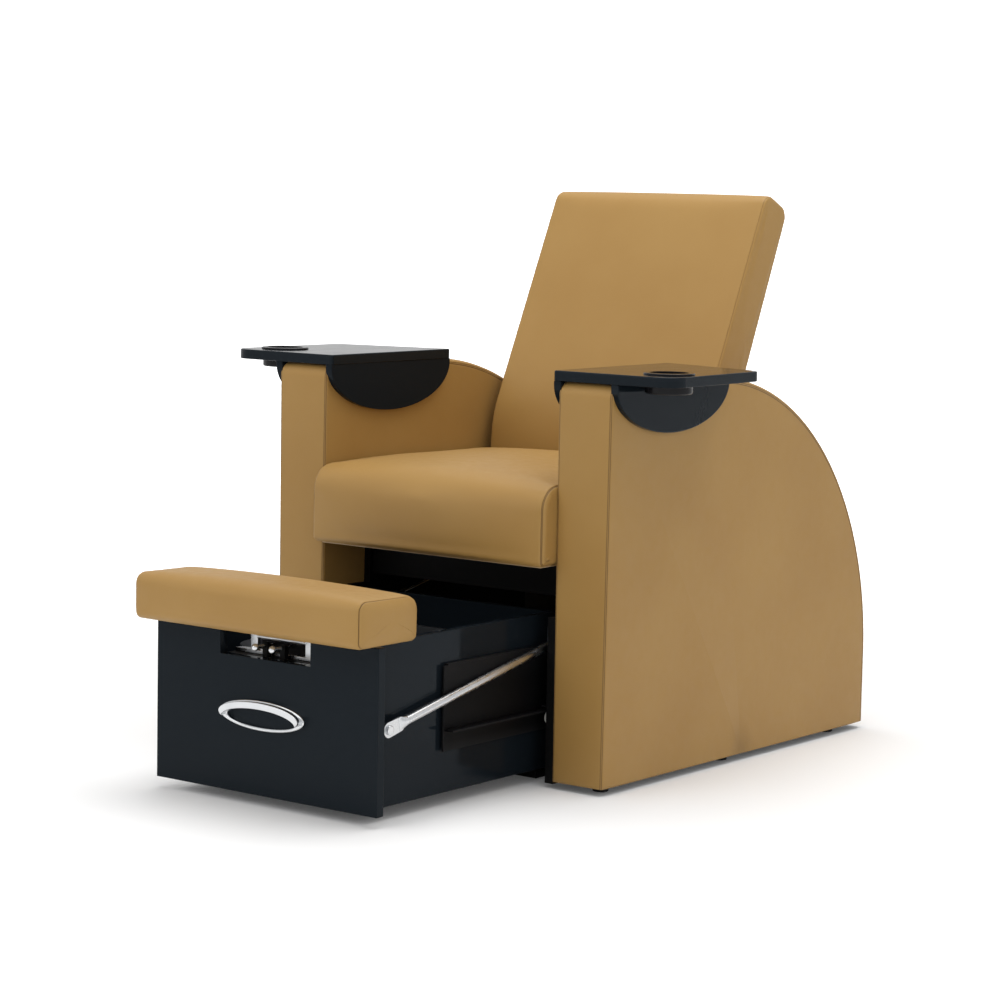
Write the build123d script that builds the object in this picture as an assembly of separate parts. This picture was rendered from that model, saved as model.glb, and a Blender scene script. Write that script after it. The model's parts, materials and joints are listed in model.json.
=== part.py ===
from build123d import *
import os
from math import atan2, cos, degrees, hypot, radians, sin, sqrt, tan

# Pedicure spa chair with a pull-out foot-bath drawer.
# Millimetres. +Z is up, the chair faces -Y, and "left" is -X.
# While modelling, y = 0 is the plane of the arms' front faces; every part is moved by -MID_Y when
# it is written, so the row's origin is on the floor under the middle of the whole object.

# ---------------------------------------------------------------- driving dimensions
ARM_OUT = 370.0  # outer face of an arm, from the centre plane
ARM_IN = 267.0  # inner face of an arm
ARM_DEPTH = 880.0
ARM_TOP = 708.0
FOOT_H = 13.0  # height of the feet, so also the underside of the arms
ARC_Y = 322.0  # centre of the big round back corner of an arm
ARC_R = ARM_DEPTH - ARC_Y
ARC_Z = ARM_TOP - ARC_R
PAD = 10.0  # padding and leather on the arm's wooden frame

LINER_IN = 249.0  # black side boards of the drawer bay
LINER_TOP = 386.0
LINER_DEPTH = 600.0
LINER_STEP = (115.0, 300.0)  # the boards are cut away in front of this y and above this z
RAIL_T = 25.0  # seat rails, front to back
RAIL_SPOTS = (125.0, 270.0, 405.0)  # front faces of the seat rails
RAIL_DEPTHS = (70.0, 34.0, 34.0)  # the front rail is deep and closes the bay above the drawer

TRAVEL = 450.0  # drawer, from fully open (as built) to shut
PANEL_W = 246.0  # half width of the drawer front
PANEL_T = 18.0
PANEL_Y = -TRAVEL  # front face of the drawer front, flush with the arms when shut
PANEL_Z0 = 19.0
PANEL_Z1 = 296.5
BOX_W = 214.0  # half width over the drawer's sides
BOARD = 15.0
BOX_Z0 = 23.0
BOX_Z1 = 298.0
BOX_BACK = 85.0  # back face of the drawer when open
NOTCH_W = 100.0  # half width of the notch in the drawer front
NOTCH_Z = 250.0

REST_W = 248.0  # half width of the footrest cushion
REST_Y0 = -493.5  # footrest cushion, open and at its lowest
REST_Y1 = -354.0
REST_Z0 = 299.0
REST_Z1 = 384.0
POST_X = 61.0
POST_Y = -405.0
POST_HALF = (8.0, 4.0)  # half section of a lift post in x and y
POST_Z0 = 160.0  # lower end of the posts and lock plate, the footrest at its lowest
LOCK_HALF = 52.0
LOCK_Y = (-398.1, -394.0)
GUIDE_W = NOTCH_W - 1
PIN_X = 19.0
PIN_Z = 269.0
PIN_R = 3.0
EAR = 5.5  # half width of a pin's bearing
PIN_Y = -452.0  # centre of the release knobs

SEAT_W = 263.0
SEAT_Y0 = -38.0
SEAT_Y1 = 455.0
SEAT_Z0 = 389.0
SEAT_Z1 = 536.0

BACK_W = 244.0
BACK_LOW = (459.0, 500.0)  # lowest front point (y, z) of the back cushion
BACK_REF = (524.5, 710.0)  # a point (y, z) on its leaning front face
LEAN = 24.8  # degrees from upright
BACK_T = 86.0  # thickness, square to the face
BACK_UP = 361.0  # up the face from BACK_REF to the top end
BACK_BEND = -98.0  # up the face from BACK_REF to where the lower part turns more upright
BACK_BOARD_T = 15.0
BOARD_Z = (512.0, 955.0)  # lower and upper ends of the board in the back cushion
PIVOT = (560.0, 440.0)  # recline axis (y, z)

TRAY_T = 18.0
TRAY_Z = 709.0  # underside of a tray
TRAY_IN = 250.0
TRAY_OUT = 498.0
TRAY_LEN = 348.0
CUP_X = 435.0
CUP_Y = 80.5
CUP_BORE = 33.5
CUP_BODY = 41.0
CUP_RING = 44.0
CUP_FLOOR = 702.0  # height of the well's floor
APRON_T = 15.0
APRON_DROP = 90.0

MIDDLE_X = 219.0  # inboard face of the middle member's plate
SHEET_T = 3.5  # sheet steel of the slide members
MIDDLE_Y0 = -250.0
MIDDLE_Y1 = 235.0
MIDDLE_TOP = 241.0
RAIL_Y0 = 20.0
RAIL_Y1 = 550.0
TRACK_Z = 106.0  # running surface of the fixed track
ROLLER_R = 12.0
ROLLER_W = 8.0
AXLE_R = 4.0
RUN = 0.05  # running clearance of rollers, pins and rods

STRUT_X = 231.0
STRUT_P = (-405.0, 156.0)  # strut's pivot on the drawer (y, z), drawer open
STRUT_Q = (560.0, 352.9)  # strut's anchor on the chassis (y, z)
TUBE_R = 7.5
ROD_R = 4.5
EYE_PIN_R = 5.0
ANCHOR_PIN_R = 4.0
PIVOT_R = 8.0
TUBE_END = 525.0  # open end of the tube, along the strut from its drawer pivot

# ---------------------------------------------------------------- derived
MID_Y = (REST_Y0 + ARM_DEPTH) / 2
STRUT_LEN = hypot(STRUT_Q[0] - STRUT_P[0], STRUT_Q[1] - STRUT_P[1])
STRUT_ANGLE = degrees(atan2(STRUT_Q[1] - STRUT_P[1], STRUT_Q[0] - STRUT_P[0]))
ROLLER_Z = TRACK_Z + ROLLER_R + RUN
FRONT_AXLE_Y = RAIL_Y0 + ROLLER_R + 1
REAR_AXLE_Y = MIDDLE_Y1 - 20
FLANGE_Z = ROLLER_Z + ROLLER_R + RUN


def on_back(up, deep):
    """Point (y, z) on the back rest: up its front face from BACK_REF, and deep square to it."""
    rise, run = cos(radians(LEAN)), sin(radians(LEAN))
    return BACK_REF[0] + up * run + deep * rise, BACK_REF[1] + up * rise - deep * run


def rear_y(z):
    """y of the back cushion's rear face at height z."""
    y0, z0 = on_back(0, BACK_T)
    return y0 + (z - z0) * tan(radians(LEAN))


# ---------------------------------------------------------------- helpers
def block(x0, x1, y0, y1, z0, z1):
    """Box between two corners."""
    return Pos((x0 + x1) / 2, (y0 + y1) / 2, (z0 + z1) / 2) * Box(x1 - x0, y1 - y0, z1 - z0)


def rod_x(x0, x1, y, z, r):
    """Round bar along X."""
    return Pos((x0 + x1) / 2, y, z) * Rot(0, 90, 0) * Cylinder(r, x1 - x0)


def rod_y(x, y0, y1, z, r):
    """Round bar along Y."""
    return Pos(x, (y0 + y1) / 2, z) * Rot(90, 0, 0) * Cylinder(r, y1 - y0)


def rod_z(x, y, z0, z1, r):
    """Upright round bar."""
    return Pos(x, y, (z0 + z1) / 2) * Cylinder(r, z1 - z0)


def side_plate(face, x0, x1):
    """Extrude a face drawn in (y, z) from x0 to x1."""
    return extrude(Plane.YZ.offset(x0) * face, x1 - x0)


def rounded(shape, radius, axis=None):
    """Round the edges parallel to an axis, or all edges."""
    edges = shape.edges() if axis is None else shape.edges().filter_by(axis)
    return fillet(edges, radius)


def save(name, *shapes):
    """Write one node; several shapes make a group of separate solids."""
    solids = [s for shape in shapes for s in shape.solids()]
    body = solids[0] if len(solids) == 1 else Compound(children=solids)
    export_step(Pos(0, -MID_Y, 0) * body, f"parts/{name}.step")


def save_pair(name, shape):
    """Write a right-hand part and its mirror image as two nodes."""
    save(f"right_{name}", shape)
    save(f"left_{name}", mirror(shape, about=Plane.YZ))


def save_both(name, *shapes):
    """Write right-hand parts and their mirror images as one node."""
    save(name, *shapes, *[mirror(s, about=Plane.YZ) for s in shapes])


# ---------------------------------------------------------------- arms
def arm_face(inset, bottom):
    """Side view of an arm: flat front and top, quarter round at the back."""
    r = ARC_R - inset
    diag = r * sqrt(0.5)
    top = ARM_TOP - inset
    back = ARC_Y + r
    flats = Polyline((back, ARC_Z), (back, bottom), (inset, bottom), (inset, top), (ARC_Y, top))
    arc = ThreePointArc((ARC_Y, top), (ARC_Y + diag, ARC_Z + diag), (back, ARC_Z))
    return make_face([flats, arc])


def arm_cover():
    """Foam and leather round the arm, open underneath."""
    outer = rounded(side_plate(arm_face(0, FOOT_H), ARM_IN, ARM_OUT), 9)
    inner = side_plate(arm_face(PAD, FOOT_H - 1), ARM_IN + PAD, ARM_OUT - PAD)
    return outer - inner


def arm_core():
    """Wooden frame inside the arm: boards on edge with two upright ribs."""
    gap = 0.2
    wall = 22.0
    full = side_plate(arm_face(PAD + gap, FOOT_H), ARM_IN + PAD + gap, ARM_OUT - PAD - gap)
    window = side_plate(arm_face(PAD + gap + wall, FOOT_H + wall), ARM_IN, ARM_OUT)
    for rib_y in (300.0, 580.0):
        window -= block(ARM_IN, ARM_OUT, rib_y, rib_y + wall, 0, ARM_TOP)
    return full - window


def feet():
    """Six black glides, three under each arm."""
    foot = fillet(Cylinder(14, FOOT_H).edges().group_by(Axis.Z)[0], 2)
    spots = [(ARM_OUT - 32, y) for y in (45.0, 420.0, 795.0)]
    return [Pos(x, y, FOOT_H / 2) * foot for x, y in spots]


# ---------------------------------------------------------------- trays
def tray_top():
    """Tray board over one arm, with the hole for the cup holder."""
    corners = [(TRAY_IN, 0), (TRAY_OUT, 0), (TRAY_OUT - 12, 290), (TRAY_IN, TRAY_LEN)]
    face = make_face(Polyline(*corners, close=True))
    for corner, radius in zip(corners, (6, 40, 26, 5)):
        near = face.vertices().sort_by_distance(Vector(*corner, 0))[0]
        face = fillet(near, radius)
    board = extrude(Pos(0, 0, TRAY_Z) * face, TRAY_T)
    board = fillet(board.edges().group_by(Axis.Z)[-1], 2.5)
    return board - rod_z(CUP_X, CUP_Y, TRAY_Z - 1, TRAY_Z + TRAY_T + 1, CUP_BODY + 0.1)


def apron(x0):
    """Half-oval board that hangs from the tray beside the arm."""
    half = TRAY_LEN / 2 - 1
    straight = 6.0
    middle = TRAY_LEN / 2
    oval = Pos(middle, TRAY_Z - straight) * Ellipse(half, APRON_DROP - straight)
    oval -= Pos(middle, TRAY_Z - straight + 100) * Rectangle(3 * half, 200)
    oval += Pos(middle, TRAY_Z - straight / 2) * Rectangle(2 * half, straight)
    board = side_plate(oval, x0, x0 + APRON_T)
    return chamfer(board.edges().group_by(Axis.X)[-1], 1.2)


def cup_holder():
    """Cup holder with a flange on top of the tray and a shallow well through it."""
    top = TRAY_Z + TRAY_T
    body = rod_z(CUP_X, CUP_Y, TRAY_Z - 15, top, CUP_BODY)
    body = fillet(body.edges().group_by(Axis.Z)[0], 3)
    ring = rod_z(CUP_X, CUP_Y, top + 0.05, top + 3, CUP_RING)
    ring = fillet(ring.edges().group_by(Axis.Z)[-1], 1.8)
    neck = rod_z(CUP_X, CUP_Y, top - 1, top + 1, CUP_BODY)
    return body + neck + ring - rod_z(CUP_X, CUP_Y, CUP_FLOOR, top + 4, CUP_BORE)


# ---------------------------------------------------------------- chassis between the arms
def side_liner():
    """Black board on the inner face of an arm, carrying the slide and the seat rails."""
    board = block(LINER_IN, ARM_IN - 0.2, 2, LINER_DEPTH, 8, LINER_TOP)
    step_y, step_z = LINER_STEP
    return board - block(LINER_IN - 1, ARM_IN, 0, step_y, step_z, LINER_TOP + 1)


def seat_rails():
    """Three cross rails between the side liners, behind the shut footrest."""
    rails = []
    for y, depth in zip(RAIL_SPOTS, RAIL_DEPTHS):
        rails.append(block(-LINER_IN, LINER_IN, y, y + RAIL_T, LINER_TOP - depth, LINER_TOP))
    return rails


def rail_screws():
    """Two button-head screws at each end of the front seat rail."""
    y = RAIL_SPOTS[0]
    heads = [rod_y(x, y - 2.4, y, LINER_TOP - 17, 4.5) for x in (88.0, 101.0)]
    return [fillet(h.edges().group_by(Axis.Y)[0], 1.5) for h in heads]


def base_board():
    """Floor board of the drawer bay, just above the floor, with side battens."""
    top = 18.0
    half = 205.0
    board = block(-half, half, 36, LINER_DEPTH, 4, top)
    for y in (120.0, 520.0):
        board += block(-LINER_IN, LINER_IN, y, y + 40, 8, top)
    return board


def stretchers():
    """Two cross rails that tie the arms together behind the drawer bay."""
    return [block(-ARM_IN + 0.2, ARM_IN - 0.2, y, y + 22, 30, 130) for y in (640.0, 800.0)]


def rear_panel():
    """Curved panel that closes the back between the arms, following their round corner."""
    thick = 12.0
    outer = ARC_R - 12
    inner = outer - thick
    end = radians(46)

    def at(r, a):
        return (ARC_Y + r * cos(a), ARC_Z + r * sin(a))

    edge = [
        ThreePointArc(at(outer, 0), at(outer, end / 2), at(outer, end)),
        Line(at(outer, end), at(inner, end)),
        ThreePointArc(at(inner, end), at(inner, end / 2), at(inner, 0)),
        Polyline(at(inner, 0), (ARC_Y + inner, FOOT_H), (ARC_Y + outer, FOOT_H), at(outer, 0)),
    ]
    return side_plate(make_face(edge), -ARM_IN + 0.5, ARM_IN - 0.5)


def seat_board(gap=0.0):
    """Plywood board in the underside of the seat cushion, or its pocket if a gap is given."""
    half = 248 + gap
    z0 = LINER_TOP + 0.5 - 2 * gap
    return block(-half, half, SEAT_Y0 + 16 - gap, SEAT_Y1 - 10 + gap, z0, 404 + gap)


def seat_cushion():
    """Seat cushion with a deep rounded front edge and a pocket for its board."""
    body = block(-SEAT_W, SEAT_W, SEAT_Y0, SEAT_Y1, SEAT_Z0, SEAT_Z1)
    front_top = body.edges().filter_by(Axis.X).sort_by(lambda e: e.center().Y - e.center().Z)[0]
    body = fillet(front_top, 48)
    low_front = body.edges().filter_by(Axis.X).sort_by(lambda e: e.center().Y + e.center().Z)[0]
    body = fillet(low_front, 8)
    return body - seat_board(0.5)


# ---------------------------------------------------------------- back rest
def back_face():
    """Side view of the back cushion: a leaning slab whose lower part is more upright."""
    pts = [
        BACK_LOW,
        on_back(BACK_BEND, 0),
        on_back(BACK_UP, 0),
        on_back(BACK_UP, BACK_T),
        (rear_y(BACK_LOW[1]), BACK_LOW[1]),
    ]
    face = make_face(Polyline(*pts, close=True))
    for point, radius in zip(pts, (14, 200, 26, 25, 10)):
        near = face.vertices().sort_by_distance(Vector(*point, 0))[0]
        face = fillet(near, radius)
    return face


def back_strip(depth0, depth1, z0, z1):
    """Flat slab parallel to the rear face, between two depths in front of it (y, z outline)."""
    return make_face(
        Polyline(
            (rear_y(z0) - depth0, z0),
            (rear_y(z1) - depth0, z1),
            (rear_y(z1) - depth1, z1),
            (rear_y(z0) - depth1, z0),
            close=True,
        )
    )


def back_cushion():
    """Back cushion with a pocket for its board."""
    half = BACK_W - 14
    z0, z1 = BOARD_Z
    body = side_plate(back_face(), -BACK_W, BACK_W)
    return body - side_plate(back_strip(-5, BACK_BOARD_T + 1, z0 - 1, z1 + 1), -half, half)


def back_board():
    """Plywood board in the rear of the back cushion."""
    half = BACK_W - 14.5
    return side_plate(back_strip(0.2, BACK_BOARD_T + 0.5, *BOARD_Z), -half, half)


def back_cover():
    """Leather-covered panel that closes the rear of the back rest."""
    half = BACK_W - 17
    panel = side_plate(back_strip(-3.5, 0, BOARD_Z[0] - 4, BOARD_Z[1] + 6), -half, half)
    return rounded(panel, 1.0, Axis.X)


def recline_arm():
    """Steel arm from the recline pivot up the edge of the back board."""
    half = 18.0
    spots = [PIVOT, (rear_y(530) - 24, 530), (rear_y(660) - 24, 660)]
    ends = [(Pos(*spot) * Circle(half)).edges() for spot in spots]
    face = Pos(*PIVOT) * Circle(24)
    for low, high in zip(ends, ends[1:]):
        face += make_hull([*low, *high])
    return side_plate(face - Pos(*PIVOT) * Circle(PIVOT_R + RUN), 246.5, 251.5)


def recline_bracket():
    """Ratchet housing on the arm's inner face, with the hole for the pivot pin."""
    y, z = PIVOT
    foot = Pos(y - 20, LINER_TOP + 11) * Rectangle(56, 20)
    face = make_hull([*(Pos(y, z) * Circle(28)).edges(), *foot.edges()])
    return side_plate(face - Pos(y, z) * Circle(PIVOT_R), 253, ARM_IN - 0.2)


def recline_pin():
    """Pivot pin, fixed in the bracket, with a head inboard of the recline arm."""
    y, z = PIVOT
    return rod_x(246, ARM_IN - 0.2, y, z, PIVOT_R) + rod_x(242.5, 246.1, y, z, 12)


# ---------------------------------------------------------------- slides
def fixed_rail():
    """Fixed slide member: wall plate with a C-shaped track and the front roller's riveted axle."""
    wall = LINER_IN - SHEET_T
    lip = 226.0
    rail = block(wall, LINER_IN, RAIL_Y0, RAIL_Y1, 98, 200)
    for z in (TRACK_Z - 3, FLANGE_Z + 6.5):
        rail += block(lip, wall, RAIL_Y0, RAIL_Y1, z, z + 3)
    clear_y = FRONT_AXLE_Y + ROLLER_R + 3
    rail -= block(lip - 1, wall, RAIL_Y0 - 1, clear_y, TRACK_Z - 4, TRACK_Z + 1)
    rail += rod_x(lip + 3.5, wall + 0.1, FRONT_AXLE_Y, ROLLER_Z, AXLE_R)
    return rail + rod_x(lip + 2, lip + 3.6, FRONT_AXLE_Y, ROLLER_Z, AXLE_R + 2)


def roller(y, x0):
    """Nylon roller, bored for its axle."""
    x1 = x0 + ROLLER_W
    body = chamfer(rod_x(x0, x1, y, ROLLER_Z, ROLLER_R).edges(), 0.8)
    return body - rod_x(x0 - 1, x1 + 1, y, ROLLER_Z, AXLE_R + RUN)


def middle_slide():
    """Middle slide member: tall plate, outboard flange and the rear roller's riveted axle."""
    x1 = MIDDLE_X + SHEET_T
    body = block(MIDDLE_X, x1, MIDDLE_Y0, MIDDLE_Y1, 96, MIDDLE_TOP)
    body += block(x1, 240, MIDDLE_Y0 + 4, MIDDLE_Y1 - 42, FLANGE_Z, FLANGE_Z + 3)
    body += rod_x(x1, x1 + 13, REAR_AXLE_Y, ROLLER_Z, AXLE_R)
    return body + rod_x(x1 + 12.9, x1 + 14.5, REAR_AXLE_Y, ROLLER_Z, AXLE_R + 2)


def inner_rail():
    """Drawer's slide member: a hanger whose flange runs on the middle member's top edge."""
    y0, y1 = MIDDLE_Y0 + 10, BOX_BACK - 20
    top = MIDDLE_TOP + 3
    web = block(BOX_W, BOX_W + 2.6, y0, y1, top - 29, top)
    return web + block(BOX_W + 2.6, MIDDLE_X + SHEET_T, y0, y1, MIDDLE_TOP + RUN, top)


# ---------------------------------------------------------------- drawer
def drawer_front():
    """Gloss front board with a notch for the footrest's lift."""
    board = block(-PANEL_W, PANEL_W, PANEL_Y, PANEL_Y + PANEL_T, PANEL_Z0, PANEL_Z1)
    board = rounded(board, 1.2, Axis.Z)
    return board - block(-NOTCH_W, NOTCH_W, PANEL_Y - 1, PANEL_Y + PANEL_T + 1, NOTCH_Z, 400)


def drawer_side():
    """Side board behind the front board, just clear of the footrest's underside."""
    return block(BOX_W - BOARD, BOX_W, PANEL_Y + PANEL_T, BOX_BACK, BOX_Z0, BOX_Z1)


def drawer_back():
    """Back board between the sides."""
    w = BOX_W - BOARD
    return block(-w, w, BOX_BACK - BOARD, BOX_BACK, BOX_Z0, PANEL_Z1)


def drawer_floor():
    """Floor board between the sides, front and back."""
    w = BOX_W - BOARD
    return block(-w, w, PANEL_Y + PANEL_T, BOX_BACK - BOARD, BOX_Z0, BOX_Z0 + 12)


def foot_basin():
    """Lift-out foot bath: tapered tub with rounded corners and a flat rim."""
    middle = Pos(0, -145, 0)
    z0 = BOX_Z0 + 12.2
    depth = 204.0
    tub = extrude(middle * Pos(0, 0, z0) * RectangleRounded(330, 360, 55), depth, taper=-3)
    tub = fillet(tub.edges().group_by(Axis.Z)[0], 16)
    rim = extrude(middle * Pos(0, 0, z0 + depth) * RectangleRounded(374, 404, 66), 5)
    rim = fillet(rim.edges().group_by(Axis.Z)[-1], 2)
    hollow = extrude(middle * Pos(0, 0, z0 + 4) * RectangleRounded(322, 352, 51), depth + 10, taper=-3)
    hollow = fillet(hollow.edges().group_by(Axis.Z)[0], 14)
    return tub + rim - hollow


def pull_handle():
    """Oval chrome pull: a thick hood above a thin lower rim."""
    face = Plane.XZ.offset(-PANEL_Y) * Pos(0, 156)
    rim = extrude(face * (Ellipse(94, 25.5) - Pos(0, -4.5) * Ellipse(77, 15)), 8)
    rim = fillet(rim.edges().group_by(Axis.Y)[0], 2.4)
    hood = extrude(face * (Pos(0, 1) * Ellipse(88, 22.5) - Pos(0, -8) * Ellipse(82, 20)), 17)
    return rim + fillet(hood.edges().group_by(Axis.Y)[0], 1.2)


# ---------------------------------------------------------------- footrest and its lift
def lift_slots():
    """Clearance for the posts and the lock plate, cut through the guides."""
    half_x, half_y = (side + 0.1 for side in POST_HALF)
    z0, z1 = POST_Z0 - 60, REST_Z0
    slots = block(-LOCK_HALF - 0.5, LOCK_HALF + 0.5, LOCK_Y[0] - 0.3, LOCK_Y[1] + 0.4, z0, z1)
    for x in (-POST_X, POST_X):
        slots += block(x - half_x, x + half_x, POST_Y - half_y, POST_Y + half_y, z0, z1)
    return slots


def guide_block():
    """Black block behind the notch, slotted for the posts and lock plate, with two pin bearings."""
    body = block(-GUIDE_W, GUIDE_W, PANEL_Y + PANEL_T, -385, POST_Z0 - 10, NOTCH_Z - 0.2)
    for x in (-PIN_X, PIN_X):
        ear = block(x - EAR, x + EAR, -428, -418, NOTCH_Z - 5, PIN_Z + EAR)
        body += rounded(ear, 2, Axis.Y)
        body -= rod_y(x, -430, -414, PIN_Z, PIN_R + RUN)
    return body - lift_slots()


def guide_bar():
    """Chrome bar on the guide block, with square holes for the posts."""
    y0, y1 = POST_Y - 8, POST_Y + 7.8
    body = rounded(block(-GUIDE_W, GUIDE_W, y0, y1, NOTCH_Z, NOTCH_Z + 6), 1.0, Axis.X)
    return body - lift_slots()


def lift_frame():
    """Two flat chrome posts that carry the footrest, welded to a round cross rod."""
    half_x, half_y = POST_HALF
    reach = POST_X - half_x + 1
    body = rod_x(-reach, reach, POST_Y - 1, PIN_Z + 10, 4)
    for x in (-POST_X, POST_X):
        y0, y1 = POST_Y - half_y, POST_Y + half_y
        post = block(x - half_x, x + half_x, y0, y1, POST_Z0, REST_Z0 - 0.5)
        body += rounded(post, 1.2, Axis.Z)
    return body


def lock_plate():
    """Black plate behind the rod, gripped by the release pins."""
    return block(-LOCK_HALF, LOCK_HALF, *LOCK_Y, POST_Z0 + 5, REST_Z0 - 0.5)


def release_pin(x):
    """Spring plunger with a ball knob."""
    return rod_y(x, PIN_Y, LOCK_Y[0] - 0.3, PIN_Z, PIN_R) + Pos(x, PIN_Y, PIN_Z) * Sphere(6.5)


def footrest_board(gap=0.0):
    """Plywood board in the underside of the footrest cushion, or its pocket if a gap is given."""
    half = REST_W - 16 + gap
    y0, y1 = REST_Y0 + 11.5 - gap, REST_Y1 - 12 + gap
    return block(-half, half, y0, y1, REST_Z0 - 0.3 - 2 * gap, REST_Z0 + 12 + gap)


def footrest_cushion():
    """Footrest cushion with a rounded top front edge."""
    body = block(-REST_W, REST_W, REST_Y0, REST_Y1, REST_Z0, REST_Z1)
    top = body.edges().filter_by(Axis.X).group_by(Axis.Z)[-1]
    body = fillet(top, 20)
    low = body.edges().filter_by(Axis.X).group_by(Axis.Z)[0]
    body = fillet(low, 4)
    return body - footrest_board(0.4)


# ---------------------------------------------------------------- struts
def on_strut(shape):
    """Move a shape built along +Y from the origin onto the strut's line."""
    return Pos(STRUT_X, *STRUT_P) * Rot(STRUT_ANGLE, 0, 0) * shape


def strut_tube():
    """Chrome tube with a flattened eye at the drawer and a guide bush at the other end."""
    tube_start = 50.0
    flat = make_hull([*Circle(13).edges(), *(Pos(30, 0) * Circle(12)).edges()])
    wide = 2 * TUBE_R - 0.4
    flat_end = Plane.XZ.offset(-26) * Rectangle(5, 24)
    round_end = Plane.XZ.offset(-tube_start) * RectangleRounded(wide, wide, TUBE_R - 0.3)
    body = side_plate(flat, -2, 2) + loft([flat_end, round_end])
    body += rod_y(0, tube_start - 2, TUBE_END, 0, TUBE_R)
    body -= rod_y(0, tube_start + 4, TUBE_END - 20, 0, TUBE_R - 1.2)
    body -= rod_y(0, TUBE_END - 30, TUBE_END + 1, 0, ROD_R + RUN)
    body -= rod_x(-5, 5, 0, 0, EYE_PIN_R + RUN)
    return on_strut(body)


def strut_rod():
    """Rod with a piston in the tube and a riveted pin that rides in the chassis anchor's slot."""
    inner = TUBE_END - 35
    body = rod_y(0, inner, STRUT_LEN - 8, 0, ROD_R) + rod_y(0, inner, inner + 10, 0, TUBE_R - 1.3)
    body += rod_x(-4, 4, STRUT_LEN, 0, 11)
    return on_strut(body + rod_x(-5, 16, STRUT_LEN, 0, ANCHOR_PIN_R))


def strut_pin():
    """Shoulder bolt that fixes the tube's eye to the drawer side."""
    y, z = STRUT_P
    x0, x1 = STRUT_X - 2.3, STRUT_X + 2.3
    shoulder = rod_x(BOX_W, x0, y, z, EYE_PIN_R + 3)
    head = rod_x(x1, x1 + 4, y, z, EYE_PIN_R + 3)
    head = fillet(head.edges().group_by(Axis.X)[-1], 2)
    return shoulder + rod_x(x0, x1 + 0.1, y, z, EYE_PIN_R) + head


def strut_anchor():
    """Bracket on the side liner with an upright slot for the anchor pin."""
    y, z = STRUT_Q
    z0, z1 = z - 24, z + 33
    x1 = LINER_IN - SHEET_T
    body = block(x1 - SHEET_T, x1, y - 25, y + 25, z0, z1)
    for z_low in (z0, z1 - SHEET_T):
        body += block(x1 - 0.1, LINER_IN, y - 25, y + 25, z_low, z_low + SHEET_T)
    return body - block(x1 - 5, x1 + 1, y - 7.5, y + 7.5, z - 6, z + 24)


def catch_plate():
    """Chrome striker near the front edge of a side liner, with its screw."""
    x0 = LINER_IN - 2.3
    return [block(x0, LINER_IN, 4, 17, 256, 283), rod_x(x0, LINER_IN, 10.5, 294, 4)]


# ---------------------------------------------------------------- write every node
os.makedirs("parts", exist_ok=True)

save_pair("arm_cover", arm_cover())
save_pair("arm_core", arm_core())
save_both("feet", *feet())
save_pair("tray_top", tray_top())
save_pair("tray_inner_apron", apron(TRAY_IN + 1))
save_pair("tray_outer_apron", apron(ARM_OUT + 1))
save_pair("cup_holder", cup_holder())

save_pair("side_liner", side_liner())
save("seat_rails", *seat_rails())
save_both("button_screws", *rail_screws())
save("base_board", base_board())
save("stretchers", *stretchers())
save("rear_panel", rear_panel())
save("seat_board", seat_board())
save("seat_cushion", seat_cushion())
save_both("catch_plates", *catch_plate())

save("back_cushion", back_cushion())
save("back_board", back_board())
save("back_cover", back_cover())
save_both("recline_arms", recline_arm())
save_both("recline_brackets", recline_bracket())
save_both("recline_pins", recline_pin())

save_pair("fixed_rail", fixed_rail())
save_pair("front_roller", roller(FRONT_AXLE_Y, 231))
save_pair("middle_slide", middle_slide())
save_pair("rear_roller", roller(REAR_AXLE_Y, 226))
save_both("inner_rails", inner_rail())

save("drawer_front", drawer_front())
save_pair("drawer_side", drawer_side())
save("drawer_back", drawer_back())
save("drawer_floor", drawer_floor())
save("foot_basin", foot_basin())
save("pull_handle", pull_handle())

save("guide_block", guide_block())
save("guide_bar", guide_bar())
save("lift_frame", lift_frame())
save("lock_plate", lock_plate())
save("right_release_pin", release_pin(PIN_X))
save("left_release_pin", release_pin(-PIN_X))
save("footrest_board", footrest_board())
save("footrest_cushion", footrest_cushion())

save_pair("strut_tube", strut_tube())
save_pair("strut_rod", strut_rod())
save_both("strut_pins", strut_pin())
save_both("strut_anchors", strut_anchor())
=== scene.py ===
import json
from math import atan2, cos, hypot, pi, radians, sin, tan

import bmesh
import bpy
import numpy as np
from mathutils import Matrix, Vector
from mathutils.bvhtree import BVHTree
from mathutils.geometry import barycentric_transform


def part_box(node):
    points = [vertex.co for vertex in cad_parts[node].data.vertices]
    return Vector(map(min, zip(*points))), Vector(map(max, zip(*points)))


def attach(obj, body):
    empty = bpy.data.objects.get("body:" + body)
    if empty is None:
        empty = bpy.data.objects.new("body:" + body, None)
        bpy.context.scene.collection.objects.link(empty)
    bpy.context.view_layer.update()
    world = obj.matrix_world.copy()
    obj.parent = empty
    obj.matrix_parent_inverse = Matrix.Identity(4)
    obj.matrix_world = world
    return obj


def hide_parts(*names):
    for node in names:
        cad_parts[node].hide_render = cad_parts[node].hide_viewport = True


# Looks of a pedicure spa chair, built round the CAD frame. Metres, +Z up, the chair faces -Y.
# The hard CAD nodes stay and get materials; the soft ones are replaced by sewn leather pieces.

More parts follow.
